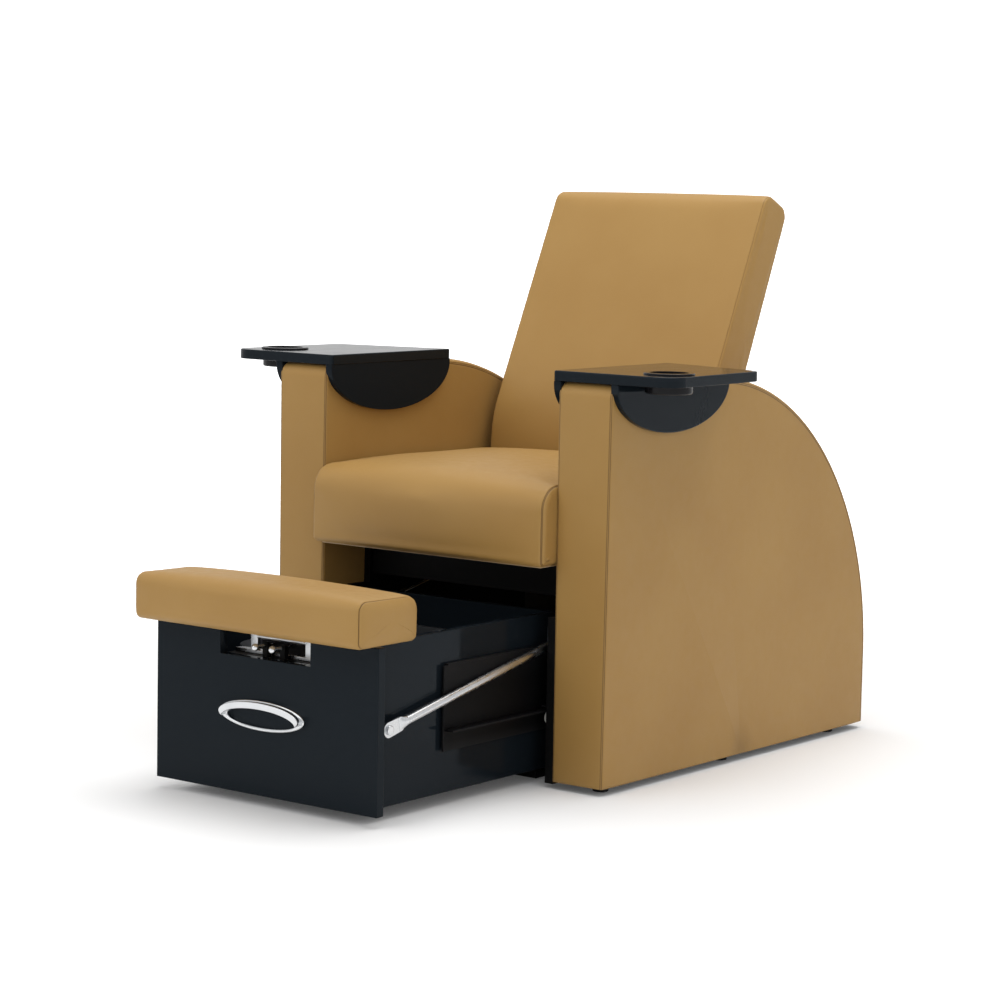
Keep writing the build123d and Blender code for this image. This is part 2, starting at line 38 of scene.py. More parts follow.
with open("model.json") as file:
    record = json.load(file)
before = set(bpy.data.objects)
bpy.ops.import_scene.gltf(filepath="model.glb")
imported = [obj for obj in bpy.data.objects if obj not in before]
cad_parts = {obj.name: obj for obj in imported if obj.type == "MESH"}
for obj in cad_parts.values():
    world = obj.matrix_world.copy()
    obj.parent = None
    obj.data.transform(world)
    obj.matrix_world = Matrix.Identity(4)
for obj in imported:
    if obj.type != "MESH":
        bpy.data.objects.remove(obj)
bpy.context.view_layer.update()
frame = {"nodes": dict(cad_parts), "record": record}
NODES = frame["nodes"]
SLOT_OF = {part["node"]: part["material_slot"] for part in frame["record"]["subparts"]}
MM = 0.001


# ---------------------------------------------------------------- node materials
def add_node(tree, kind, settings=None, **inputs):
    """Add a shader node; keyword inputs are values or sockets, with _ for a space in a name."""
    made = tree.nodes.new(kind)
    for key, value in (settings or {}).items():
        setattr(made, key, value)
    for key, value in inputs.items():
        socket = made.inputs[key.replace("_", " ")]
        if isinstance(value, bpy.types.NodeSocket):
            tree.links.new(value, socket)
        else:
            socket.default_value = value
    return made


def new_material(name):
    """An empty node material with its output linked to a Principled shader."""
    made = bpy.data.materials.new(name)
    made.use_nodes = True
    tree = made.node_tree
    tree.nodes.clear()
    shader = add_node(tree, "ShaderNodeBsdfPrincipled")
    add_node(tree, "ShaderNodeOutputMaterial", Surface=shader.outputs["BSDF"])
    place = add_node(tree, "ShaderNodeTexCoord").outputs["Object"]
    return made, tree, shader, place


def noise(tree, place, scale, detail=3.0):
    """Noise value between about 0 and 1."""
    made = add_node(tree, "ShaderNodeTexNoise", Vector=place, Scale=scale, Detail=detail)
    return made.outputs["Fac"]


def stretched(tree, place, scale):
    """Texture coordinates scaled unevenly, for streaks and grain."""
    made = add_node(tree, "ShaderNodeMapping", Vector=place, Scale=scale)
    return made.outputs["Vector"]


def remap(tree, value, low, high, start=0.0, end=1.0):
    """Value from start..end mapped to low..high, clamped."""
    made = add_node(tree, "ShaderNodeMapRange", Value=value)
    for key, number in zip(("From Min", "From Max", "To Min", "To Max"), (start, end, low, high)):
        made.inputs[key].default_value = number
    return made.outputs["Result"]


def mix_colour(tree, factor, first, second):
    """Mix two colours; factor is a value or a socket."""
    made = add_node(tree, "ShaderNodeMix", {"data_type": "RGBA"}, Factor=factor)
    for socket, colour in ((made.inputs[6], first), (made.inputs[7], second)):
        if isinstance(colour, bpy.types.NodeSocket):
            tree.links.new(colour, socket)
        else:
            socket.default_value = (*colour, 1.0)
    return made.outputs[2]


def bump(tree, height, strength, distance, normal=None):
    """Bump node, chained after another one if a normal is given."""
    made = add_node(tree, "ShaderNodeBump", Height=height, Strength=strength, Distance=distance)
    if normal is not None:
        tree.links.new(normal, made.inputs["Normal"])
    return made.outputs["Normal"]


def edge_wear(tree, strength):
    """0 on flat and hollow places, up to strength on sharp outside edges."""
    flat, sharp = 0.52, 0.6  # pointiness of an even face and of a worn edge
    pointed = add_node(tree, "ShaderNodeNewGeometry").outputs["Pointiness"]
    return remap(tree, remap(tree, pointed, 0.0, 1.0, flat, sharp), 0.0, strength)


def connect(tree, shader, **inputs):
    """Set or link inputs of the Principled shader."""
    for key, value in inputs.items():
        socket = shader.inputs[key.replace("_", " ")]
        if isinstance(value, bpy.types.NodeSocket):
            tree.links.new(value, socket)
        elif hasattr(value, "__len__") and len(value) == 3:
            socket.default_value = (*value, 1.0)
        else:
            socket.default_value = value


def leather_material():
    """Smooth tan upholstery leather: fine pebble grain, faint mottling, worn ridges, painted shade in
    the seam creases.
    """
    made, tree, shader, place = new_material("leather")
    tan_colour = (0.380, 0.222, 0.064)
    deep_colour = (0.352, 0.198, 0.053)
    worn_colour = (0.450, 0.285, 0.105)
    painted_seam_shade = (0.055, 0.024, 0.007)
    mottle = remap(tree, noise(tree, place, 5.0, 3.0), 0.0, 1.0, 0.3, 0.7)
    colour = mix_colour(tree, mottle, tan_colour, deep_colour)
    fleck = remap(tree, noise(tree, place, 900.0, 2.0), 0.0, 0.2, 0.5, 0.75)
    colour = mix_colour(tree, fleck, colour, deep_colour)
    colour = mix_colour(tree, edge_wear(tree, 0.3), colour, worn_colour)
    # Painted shade: the leather is darkened towards dark brown along the seam creases, by the crease
    # mask stored on each mesh.
    seam = add_node(tree, "ShaderNodeAttribute", {"attribute_name": "seam"}).outputs["Fac"]
    colour = mix_colour(tree, remap(tree, seam, 0.0, 0.8), colour, painted_seam_shade)
    cells = add_node(
        tree, "ShaderNodeTexVoronoi", {"feature": "DISTANCE_TO_EDGE"}, Vector=place, Scale=620.0
    )
    grain = remap(tree, cells.outputs["Distance"], 0.0, 1.0, 0.0, 0.35)
    normal = bump(tree, noise(tree, place, 42.0, 3.0), 0.14, 0.001)
    normal = bump(tree, grain, 0.16, 0.00012, normal)
    gloss = remap(tree, noise(tree, place, 55.0, 4.0), 0.44, 0.54, 0.3, 0.7)
    connect(tree, shader, Base_Color=colour, Roughness=gloss, Normal=normal)
    connect(tree, shader, Specular_IOR_Level=0.32, Sheen_Weight=0.03, Sheen_Roughness=0.5)
    return made


def lacquer_material(name, shine):
    """Black gloss lacquer on board: mirror face with a trace of orange peel and wiped haze."""
    made, tree, shader, place = new_material(name)
    cloud = noise(tree, place, 3.0, 3.0)
    colour = mix_colour(tree, cloud, (0.0072, 0.0104, 0.0138), (0.0088, 0.0122, 0.0160))
    wiped = noise(tree, stretched(tree, place, (4.0, 1.0, 1.0)), 9.0, 5.0)
    haze = remap(tree, wiped, 0.05, 0.12, 0.35, 0.7)
    peel = bump(tree, noise(tree, place, 130.0, 1.0), 0.04, 0.0004)
    connect(tree, shader, Base_Color=colour, Roughness=haze, Normal=peel)
    connect(tree, shader, Specular_IOR_Level=shine, Specular_Tint=(0.84, 0.93, 1.0))
    return made


def laminate_material():
    """Black satin laminate: fine open grain."""
    made, tree, shader, place = new_material("black_satin")
    streak = noise(tree, stretched(tree, place, (40.0, 2.0, 40.0)), 8.0, 4.0)
    colour = mix_colour(tree, streak, (0.0018, 0.0018, 0.0020), (0.0045, 0.0045, 0.0045))
    normal = bump(tree, streak, 0.25, 0.0002)
    connect(tree, shader, Base_Color=colour, Normal=normal, Specular_IOR_Level=0.1)
    connect(tree, shader, Roughness=remap(tree, streak, 0.45, 0.62))
    return made


def plastic_material(name, colour, lighter, roughness):
    """Moulded plastic: faint flow marks, fine texture and paler edges."""
    made, tree, shader, place = new_material(name)
    flow = noise(tree, place, 14.0, 3.0)
    edge_colour = [3.0 * c for c in lighter]
    body = mix_colour(tree, flow, colour, lighter)
    body = mix_colour(tree, edge_wear(tree, 0.4), body, edge_colour)
    normal = bump(tree, noise(tree, place, 1400.0, 2.0), 0.10, 0.0001)
    gloss = remap(tree, flow, roughness, roughness + 0.1, 0.3, 0.7)
    connect(tree, shader, Base_Color=body, Roughness=gloss, Normal=normal)
    connect(tree, shader, Specular_IOR_Level=0.2)
    return made


def powder_coat_material():
    """Black powder coat on steel: small dimples and bare-looking edges."""
    made, tree, shader, place = new_material("black_steel")
    dimple = noise(tree, place, 1100.0, 2.0)
    body = mix_colour(tree, dimple, (0.0015, 0.0015, 0.0018), (0.004, 0.004, 0.0045))
    colour = mix_colour(tree, edge_wear(tree, 0.4), body, (0.03, 0.03, 0.032))
    connect(tree, shader, Base_Color=colour, Normal=bump(tree, dimple, 0.35, 0.0002))
    connect(tree, shader, Roughness=remap(tree, dimple, 0.45, 0.6), Specular_IOR_Level=0.1)
    return made


def chrome_material(name, low_haze, high_haze):
    """Bright plated steel: polishing lines over an even haze."""
    made, tree, shader, place = new_material(name)
    lines = noise(tree, stretched(tree, place, (1.0, 1.0, 30.0)), 60.0, 3.0)
    haze = noise(tree, place, 24.0, 4.0)
    colour = mix_colour(tree, haze, (0.62, 0.64, 0.66), (0.80, 0.81, 0.82))
    gloss = remap(tree, haze, low_haze, high_haze, 0.35, 0.75)
    connect(tree, shader, Base_Color=colour, Metallic=1.0, Roughness=gloss)
    connect(tree, shader, Normal=bump(tree, lines, 0.04, 0.0001))
    return made


def plywood_material():
    """Birch plywood: long grain on the faces and thin dark plies across the thickness."""
    made, tree, shader, place = new_material("plywood")
    grain = noise(tree, stretched(tree, place, (30.0, 3.0, 30.0)), 6.0, 6.0)
    wave = add_node(
        tree, "ShaderNodeTexWave", {"bands_direction": "Z"}, Vector=place, Scale=95.0, Distortion=0.6
    )
    colour = mix_colour(tree, grain, (0.52, 0.36, 0.20), (0.66, 0.50, 0.31))
    ply = remap(tree, wave.outputs["Fac"], 0.0, 0.35, 0.55, 0.95)
    colour = mix_colour(tree, ply, colour, (0.30, 0.18, 0.09))
    connect(tree, shader, Base_Color=colour, Normal=bump(tree, grain, 0.3, 0.0003))
    connect(tree, shader, Roughness=remap(tree, grain, 0.5, 0.7))
    return made


def dust_cover_material():
    """Black bonded cloth where no leather is needed: under the arms and inside the drawer bay."""
    made, tree, shader, place = new_material("dust_cover")
    weave = noise(tree, place, 1600.0, 2.0)
    colour = mix_colour(tree, weave, (0.01, 0.01, 0.01), (0.03, 0.03, 0.03))
    connect(tree, shader, Base_Color=colour, Roughness=0.9, Normal=bump(tree, weave, 0.5, 0.0003))
    return made


PLASTICS = {
    "black_plastic": ((0.008, 0.008, 0.009), (0.016, 0.016, 0.018), 0.12),
    "nylon": ((0.62, 0.61, 0.57), (0.72, 0.71, 0.66), 0.35),
    "basin_grey": ((0.035, 0.037, 0.04), (0.05, 0.052, 0.056), 0.22),
}
MATERIALS = {
    "leather": leather_material(),
    "black_gloss": lacquer_material("black_gloss", 0.085),
    "tray_gloss": lacquer_material("tray_gloss", 0.15),
    "black_satin": laminate_material(),
    "black_plastic": plastic_material("black_plastic", *PLASTICS["black_plastic"]),
    "black_steel": powder_coat_material(),
    "nylon": plastic_material("nylon", *PLASTICS["nylon"]),
    "basin_grey": plastic_material("basin_grey", *PLASTICS["basin_grey"]),
    "chrome": chrome_material("chrome", 0.05, 0.16),
    "satin_chrome": chrome_material("satin_chrome", 0.24, 0.36),
    "plywood": plywood_material(),
    "dust_cover": dust_cover_material(),
}


# ---------------------------------------------------------------- carried-over CAD nodes
# Nodes whose finish differs from the rest of their material slot
FINISH_OF = {
    "left_tray_top": "tray_gloss",
    "right_tray_top": "tray_gloss",
    # Painted reflection: only the right tray's outer apron takes this more strongly reflecting copy of
    # the lacquer, brightening its reflection on that side.
    "right_tray_outer_apron": "tray_gloss",
    "guide_bar": "satin_chrome",
    "lift_frame": "satin_chrome",
    "left_strut_tube": "satin_chrome",
    "right_strut_tube": "satin_chrome",
}


# Edge radius of each material slot
EDGE_RADIUS = {
    "black_gloss": 0.9 * MM,
    "black_satin": 0.6 * MM,
    "black_steel": 0.3 * MM,
    "plywood": 0.5 * MM,
    "chrome": 0.25 * MM,
    "black_plastic": 0.3 * MM,
    "basin_grey": 0.5 * MM,
    "nylon": 0.2 * MM,
    "leather": 0.5 * MM,
}


def dress_cad_nodes():
    """Give every CAD node its material, welded smooth surfaces and a small edge radius."""
    for name, node in NODES.items():
        slot = SLOT_OF[name]
        node.data.materials.clear()
        node.data.materials.append(MATERIALS[FINISH_OF.get(name, slot)])
        weld = node.modifiers.new("weld", "WELD")
        weld.merge_threshold = 0.01 * MM
        merge = node.modifiers.new("flat_faces", "DECIMATE")
        merge.decimate_type = "DISSOLVE"
        merge.angle_limit = radians(0.6)
        bevel = node.modifiers.new("edge_radius", "BEVEL")
        bevel.width = EDGE_RADIUS[slot]
        bevel.segments = 2
        bevel.limit_method = "ANGLE"
        bevel.angle_limit = radians(35)
        bevel.use_clamp_overlap = True
        node.modifiers.new("face_normals", "WEIGHTED_NORMAL")


# ---------------------------------------------------------------- outlines of padded forms
def outline(corners, step, closed):
    """Points, outward normals and running lengths of a path with rounded corners.

    corners is [((p, q), radius)]; the path runs clockwise, so that its outside is on its left.
    """
    count = len(corners)
    spots = [np.array(c[0], float) for c in corners]
    pieces = []
    starts, ends = list(spots), list(spots)
    for i, (spot, radius) in enumerate(corners):
        if not closed and i in (0, count - 1):
            continue
        d0 = spots[i] - spots[i - 1]
        d1 = spots[(i + 1) % count] - spots[i]
        d0, d1 = d0 / np.linalg.norm(d0), d1 / np.linalg.norm(d1)
        turn = np.arctan2(d0[0] * d1[1] - d0[1] * d1[0], d0 @ d1)
        reach = radius * tan(abs(turn) / 2)
        ends[i] = spots[i] - d0 * reach
        starts[i] = spots[i] + d1 * reach
    points, normals = [], []
    for i in range(count if closed else count - 1):
        after = (i + 1) % count
        a, b = starts[i], ends[after]
        way = (b - a) / np.linalg.norm(b - a)
        out = np.array((-way[1], way[0]))
        steps = max(2, round(np.linalg.norm(b - a) / step))
        for k in range(steps):
            points.append(a + (b - a) * k / steps)
            normals.append(out)
        if not closed and after == count - 1:
            points.append(b)
            normals.append(out)
            break
        radius = corners[after][1]
        onward = spots[(after + 1) % count] - spots[after]
        onward = onward / np.linalg.norm(onward)
        turn = np.arctan2(way[0] * onward[1] - way[1] * onward[0], way @ onward)
        centre = b - out * radius
        arc_step = min(step, max(radius * 0.16, 1.2 * MM))
        steps = max(4, round(radius * abs(turn) / arc_step))
        for k in range(steps):
            angle = turn * k / steps
            normal = np.array(
                (out[0] * cos(angle) - out[1] * sin(angle), out[0] * sin(angle) + out[1] * cos(angle))
            )
            points.append(centre + normal * radius)
            normals.append(normal)
    points, normals = np.array(points), np.array(normals)
    gaps = np.linalg.norm(np.diff(points, axis=0), axis=1)
    return points, normals, np.concatenate([[0.0], np.cumsum(gaps)])


def ripple(along, waves, seed):
    """Irregular but repeatable waviness, about -1 to 1, from a few wavelengths."""
    phases = np.random.default_rng(seed).uniform(0, 2 * pi, (len(waves), 2))
    total = np.zeros_like(along)
    for wave, (phase, drift) in zip(waves, phases):
        wander = 0.9 * np.sin(2 * pi * along / (5.3 * wave) + drift)
        total += np.sin(2 * pi * along / wave + phase + wander)
    return total / len(waves)


HALF_SEAM = np.array([8, 6, 4.6, 3.6, 2.8, 2.1, 1.5, 1.0, 0.5]) * MM
SEAM_ROWS = np.concatenate([HALF_SEAM, [0.0], -HALF_SEAM[::-1]])  # mesh rows on both sides of a seam
RING_SHARES = np.array((0.05, 0.12, 0.22, 0.34, 0.48, 0.62, 0.76, 0.89, 1.0))  # rim to centre
CREASE_WIDTH = 0.75 * MM
PULL_WIDTH = 7 * MM  # leather drawn in by the stitching
PUCKER_REACH = 9 * MM
DOME_RISE = 30 * MM  # distance from the seam over which a side panel swells


def seam_relief(delta, along, look):
    """Lift of the leather, and the mask of painted shade along the seam creases, at distances delta
    from the seam, positive on the strip.
    """
    # The crease both sinks the leather and, as a mask, paints shade into the seam creases.
    crease = np.exp(-(((np.abs(delta) - look["ridge"]) / CREASE_WIDTH) ** 2))
    lift = -look["crease"] * crease
    lift -= look["pull"] * np.exp(-((delta / PULL_WIDTH) ** 2))
    strip_waves = ripple(along, look["waves"], look["seed"])[None, :]
    side_waves = ripple(along, look["waves"], look["seed"] + 7)[None, :]
    fade = np.exp(-np.abs(delta) / PUCKER_REACH)
    lift += look["pucker"] * fade * np.where(delta > 0, strip_waves, side_waves)
    return lift, crease * look.get("dark", 1.0)


def dome(points, p, q, reach, box_dome):
    """Swelling of a side panel, 0 to 1: by place in the outline's box, or by distance from the seam."""
    if not box_dome:
        return 1 - np.exp(-((reach / DOME_RISE) ** 2))
    low, high = points.min(axis=0), points.max(axis=0)
    u = np.clip(2 * (p - low[0]) / (high[0] - low[0]) - 1, -1, 1)
    v = np.clip(2 * (q - low[1]) / (high[1] - low[1]) - 1, -1, 1)
    return (1 - np.abs(u) ** 3) * (1 - np.abs(v) ** 3)


def padded_form(name, path, closed, half, edge, place, centre, seam_at, look):
    """A closed padded form: a strip that follows a path, and two side panels joined to it by seams.

    path      points, outward normals and lengths of the outline, in the plane (p, q)
    half      half width across, from the middle to each side panel
    edge      radius of the rounded edge between strip and side panel, one or one per path point
    place     turns arrays p, q, across into world coordinates
    centre    (p, q) that the side panels' rings close on
    seam_at   seam's place at each point of the path, from the edge's apex, positive on the strip
    look      crease, pull and pucker: depths next to the seam; ridge: half the gap between twin
          seam lines; dark: strength of the painted seam-crease shade; waves, seed: puckers;
          strip_crown, side_crown: swelling; box_dome; inset: flat rim of the side panel; rows: mesh
              rows
    """
    points, normals, along = path
    edge = np.broadcast_to(np.asarray(edge, float), along.shape)
    seam = np.broadcast_to(np.asarray(seam_at, float), along.shape)
    quarter = edge * pi / 4
    strip_rows, side_rows = look.get("rows", (7, 4))
    strip_end = half - edge + quarter
    side_start = seam + SEAM_ROWS[-1]
    last = np.minimum(-(quarter + look["inset"]), side_start - 4 * MM)
    rows = []
    for k in range(strip_rows):
        rows.append(strip_end + (seam + SEAM_ROWS[0] - strip_end) * k / strip_rows)
    rows += [seam + offset for offset in SEAM_ROWS]
    for k in range(1, side_rows + 1):
        rows.append(side_start + (last - side_start) * k / side_rows)
    sigma = np.array(rows)
    angle = np.clip(pi / 4 - sigma / edge, 0.0, pi / 2)
    across = half - edge + edge * np.sin(angle) - np.clip(sigma - quarter, 0.0, None)
    out = -edge + edge * np.cos(angle) - np.clip(-sigma - quarter, 0.0, None)

    def on_outline(offset):
        return (points[None, :, i] + normals[None, :, i] * offset for i in (0, 1))

    delta = sigma - seam
    reach = np.clip(-delta, 0, None)
    lift, seam_shade = seam_relief(delta, along, look)
    strip_part = np.clip(1 - across / (half - edge), 0, 1)
    above = np.clip(1 + 1.5 * normals[None, :, 1], 0, 1)
    lift += look["strip_crown"] * above * (1 - (1 - strip_part) ** 2.2) * (delta > 0)
    swell = dome(points, *on_outline(out), reach, look.get("box_dome"))
    lift += look["side_crown"] * swell * (delta < 0)
    across = across + lift * np.sin(angle)
    p, q = on_outline(out + lift * np.cos(angle))

    deep = np.hypot(p[-1] - centre[0], q[-1] - centre[1])
    reach_in = reach[-1][None, :] + RING_SHARES[:, None] * deep[None, :]
    ring_p = p[-1][None, :] + (centre[0] - p[-1][None, :]) * RING_SHARES[:, None]
    ring_q = q[-1][None, :] + (centre[1] - q[-1][None, :]) * RING_SHARES[:, None]
    swell = dome(points, ring_p, ring_q, reach_in, look.get("box_dome"))
    p = np.concatenate([p, ring_p])
    q = np.concatenate([q, ring_q])
    across = np.concatenate([across, half + look["side_crown"] * swell])
    seam_shade = np.concatenate([seam_shade, np.zeros_like(ring_p)])

    grid_p = np.concatenate([p[::-1], p[1:]])
    grid_q = np.concatenate([q[::-1], q[1:]])
    grid_a = np.concatenate([across[::-1], -across[1:]])
    world = np.stack(place(grid_p, grid_q, grid_a), axis=-1)
    return grid_mesh(name, world, closed, np.concatenate([seam_shade[::-1], seam_shade[1:]]))


def grid_mesh(name, world, closed, seam_shade):
    """Leather mesh from rows of points whose first and last rows each shrink to one point.

    The last argument gives the strength of the painted shade along the seam creases at each point. An
    open path leaves an underside, closed by one face.
    """
    height, width = world.shape[:2]
    index = np.arange(height * width).reshape(height, width) - (width - 1)
    index[0] = 0
    index[-1] = (height - 2) * width + 1
    verts = np.concatenate([world[0, :1], world[1:-1].reshape(-1, 3), world[-1, :1]])
    turns = range(width if closed else width - 1)
    faces = []
    for i in range(height - 1):
        for j in turns:
            k = (j + 1) % width
            ring = [index[i, j], index[i + 1, j], index[i + 1, k], index[i, k]]
            faces.append([int(v) for n, v in enumerate(ring) if v != ring[n - 1]])
    if not closed:
        faces.append([int(v) for v in index[:, 0]] + [int(v) for v in index[1:-1, -1][::-1]])
    mesh = bpy.data.meshes.new(name)
    mesh.from_pydata([tuple(v) for v in verts], [], faces)
    mesh.validate()
    made = bpy.data.objects.new(name, mesh)
    bpy.context.scene.collection.objects.link(made)
    make_outward(mesh)
    mesh.shade_smooth()
    mesh.materials.append(MATERIALS["leather"])
    # Painted shade: the darkening of the seam creases is stored on each point for the leather material.
    seam = mesh.attributes.new("seam", "FLOAT", "POINT")
    seam.data.foreach_set("value", np.concatenate([seam_shade[0, :1], seam_shade[1:-1].ravel(), seam_shade[-1, :1]]))
    if not closed:
        mesh.materials.append(MATERIALS["dust_cover"])
        bottom = max(mesh.polygons, key=lambda face: len(face.vertices))
        bottom.material_index = 1
        bottom.use_smooth = False
    return made


def make_outward(mesh):
    """Turn every face's normal outwards."""
    work = bmesh.new()
    work.from_mesh(mesh)
    bmesh.ops.recalc_face_normals(work, faces=work.faces)
    work.to_mesh(mesh)
    work.free()


# ---------------------------------------------------------------- cloth
def coordinates(mesh):
    """Vertex coordinates as an array."""
    flat = np.empty(len(mesh.vertices) * 3)
    mesh.vertices.foreach_get("co", flat)
    return flat.reshape(-1, 3)


def set_coordinates(mesh, points):
    """Write vertex coordinates back."""
    mesh.vertices.foreach_set("co", np.asarray(points, np.float32).ravel())
    mesh.update()


def inflate(piece, held, cap, voxel=8 * MM):
    """Swell a piece by cloth simulation of a remeshed copy, with a cap on how far a point moves.

    held takes the copy's points and returns how firmly each one is pinned, from 0 to 1.
    """
    pressure = 4.0
    frames = 20
    scene = bpy.context.scene
    cage = piece.copy()
    cage.data = piece.data.copy()
    scene.collection.objects.link(cage)
    bpy.context.view_layer.objects.active = cage
    remesh = cage.modifiers.new("remesh", "REMESH")
    remesh.mode = "VOXEL"
    remesh.voxel_size = voxel
    bpy.context.view_layer.update()
    bpy.ops.object.modifier_apply(modifier=remesh.name)
    rest = coordinates(cage.data)
    group = cage.vertex_groups.new(name="held")
    for i, weight in enumerate(held(rest)):
        group.add([i], float(weight), "REPLACE")
    cloth = cage.modifiers.new("cloth", "CLOTH")
    settings = cloth.settings
    settings.quality = 5
    settings.mass = 0.3
    settings.tension_stiffness = settings.compression_stiffness = 18.0
    settings.shear_stiffness = 8.0
    settings.bending_stiffness = 2.0
    settings.use_pressure = True
    settings.uniform_pressure_force = pressure
    settings.vertex_group_mass = group.name
    settings.effector_weights.gravity = 0.0
    cloth.point_cache.frame_start = 1
    cloth.point_cache.frame_end = frames
    for number in range(1, frames + 1):
        scene.frame_set(number)
    swollen = cage.evaluated_get(bpy.context.evaluated_depsgraph_get())
    moved = coordinates(swollen.data)
    scene.frame_set(1)
    step = moved - rest
    size = np.linalg.norm(step, axis=1, keepdims=True)
    step *= cap * np.tanh(size / cap) / np.maximum(size, 1e-9)
    carry(piece, cage.data, rest, rest + step)
    bpy.data.objects.remove(cage)


def carry(piece, cage_mesh, rest, moved):
    """Move a piece's points as the nearest triangles of its cage moved."""
    cage_mesh.calc_loop_triangles()
    triangles = [tuple(t.vertices) for t in cage_mesh.loop_triangles]
    tree = BVHTree.FromPolygons([tuple(v) for v in rest], triangles)
    before = [Vector(v) for v in rest]
    after = [Vector(v) for v in moved]
    points = coordinates(piece.data)
    for i, point in enumerate(points):
        spot, _, face, _ = tree.find_nearest(Vector(point))
        here = [before[corner] for corner in triangles[face]]
        there = [after[corner] for corner in triangles[face]]
        points[i] += np.array(barycentric_transform(spot, *here, *there) - spot)
    set_coordinates(piece.data, points)


# ---------------------------------------------------------------- upholstered pieces
ARM_ARC = 558 * MM  # radius of the arms' quarter round
PANEL_T = 12 * MM  # rear panel, lying just inside the arms' outline


def across_x(p, q, across):
    """Outline in (y, z), width along X."""
    return across, p, q


def finish_soft(piece, body, *nodes):
    """Put a soft piece on its body in place of its CAD nodes."""
    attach(piece, body)
    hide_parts(*nodes)


def arm(side):
    """One arm: leather over padded board, with a sewn seam along each edge of the narrow strip."""
    node = f"{side}_arm_cover"
    lo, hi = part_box(node)
    corners = [
        ((lo.y, lo.z), 0.0),
        ((lo.y, hi.z), 22 * MM),
        ((hi.y, hi.z), ARM_ARC),
        ((hi.y, lo.z), 0.0),
    ]
    path = outline(corners, 4.5 * MM, False)
    along = path[2]
    straight = hi.z - lo.z
    turn = np.clip((along - straight) / (hi.y - lo.y - ARM_ARC), 0, 1)
    seam = (1.2 - 7.4 * turn) * MM
    near_top = np.exp(-(((along - straight + 20 * MM) / (45 * MM)) ** 2))
    round_arc = np.clip((along - straight - 0.3) / 0.05, 0, 1)
    look = {
        "crease": 0.7 * MM,
        "ridge": 1.5 * MM,
        "pull": 0.3 * MM,
        "pucker": (0.12 + 0.5 * near_top + 0.16 * round_arc) * MM,
        "waves": (11 * MM, 17 * MM, 31 * MM),
        "seed": 3 if side == "left" else 4,
        "strip_crown": 0.8 * MM,
        "side_crown": 1.2 * MM,
        "inset": 9 * MM,
    }
    middle = (lo.x + hi.x) / 2
    climb = np.clip(along / straight, 0, 1) * (1 - turn)
    piece = padded_form(
        f"{side}_arm_leather",
        path,
        False,
        (hi.x - lo.x) / 2 + (1.8 + 3.2 * climb) * MM,
        (4.5 + 4.5 * turn) * MM,
        lambda p, q, a: (middle + a, p, q),
        ((lo.y + hi.y) / 2, lo.z),
        seam,
        look,
    )
    line_bay(piece, min(abs(lo.x), abs(hi.x)), (hi.y - ARM_ARC, hi.z - ARM_ARC))
    finish_soft(piece, "chassis", node)


def line_bay(piece, inner, middle):
    """Black lining on an arm's inner face below the seat and inside the rear panel.

    inner is the face's distance from the centre plane, middle the (y, z) centre of the arm's arc.
    """
    reach = ARM_ARC - 38 * MM
    front, top = 0.36, 0.42
    mesh = piece.data
    mesh.materials.append(MATERIALS["dust_cover"])
    lining = len(mesh.materials) - 1
    for polygon in mesh.polygons:
        spot = polygon.center
        away = hypot(max(spot.y - middle[0], 0.0), max(spot.z - middle[1], 0.0))
        hidden = spot.y > front and spot.z < top and away < reach
        if hidden and abs(abs(spot.x) - inner) < 6 * MM:
            polygon.material_index = lining


def seat():
    """Seat cushion: deep front roll, crowned top, end panels sewn in along the rounded edge."""
    lo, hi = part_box("seat_cushion")
    top = hi.z
    corners = [
        ((lo.y, lo.z), 10 * MM),
        ((lo.y, top - 7 * MM), 46 * MM),
        ((lo.y + 165 * MM, top), 1500 * MM),
        ((hi.y, top - 5 * MM), 26 * MM),
        ((hi.y, lo.z), 18 * MM),
    ]
    path = outline(corners, 5 * MM, True)
    look = {
        "crease": 0.9 * MM,
        "ridge": 1.1 * MM,
        "pull": 1.2 * MM,
        "pucker": 0.3 * MM,
        "waves": (13 * MM, 22 * MM, 41 * MM),
        "seed": 11,
        "strip_crown": 9.0 * MM,
        "side_crown": 2.0 * MM,
        "box_dome": True,
        "inset": 5 * MM,
        "rows": (16, 3),
    }
    half = (hi.x - lo.x) / 2
    centre = ((lo.y + hi.y) / 2, (lo.z + top) / 2)
    edge, seam = 11 * MM, 1 * MM
    piece = padded_form("seat_leather", path, True, half, edge, across_x, centre, seam, look)

    def held(points):
        low = np.clip((lo.z + 30 * MM - points[:, 2]) / (20 * MM), 0, 1)
        ends = np.clip((np.abs(points[:, 0]) - half + 12 * MM) / (8 * MM), 0, 1)
        rear = np.clip((points[:, 1] - hi.y + 40 * MM) / (30 * MM), 0, 1)
        return np.maximum(np.maximum(low, ends), rear)

    inflate(piece, held, 5 * MM)
    finish_soft(piece, "chassis", "seat_cushion")


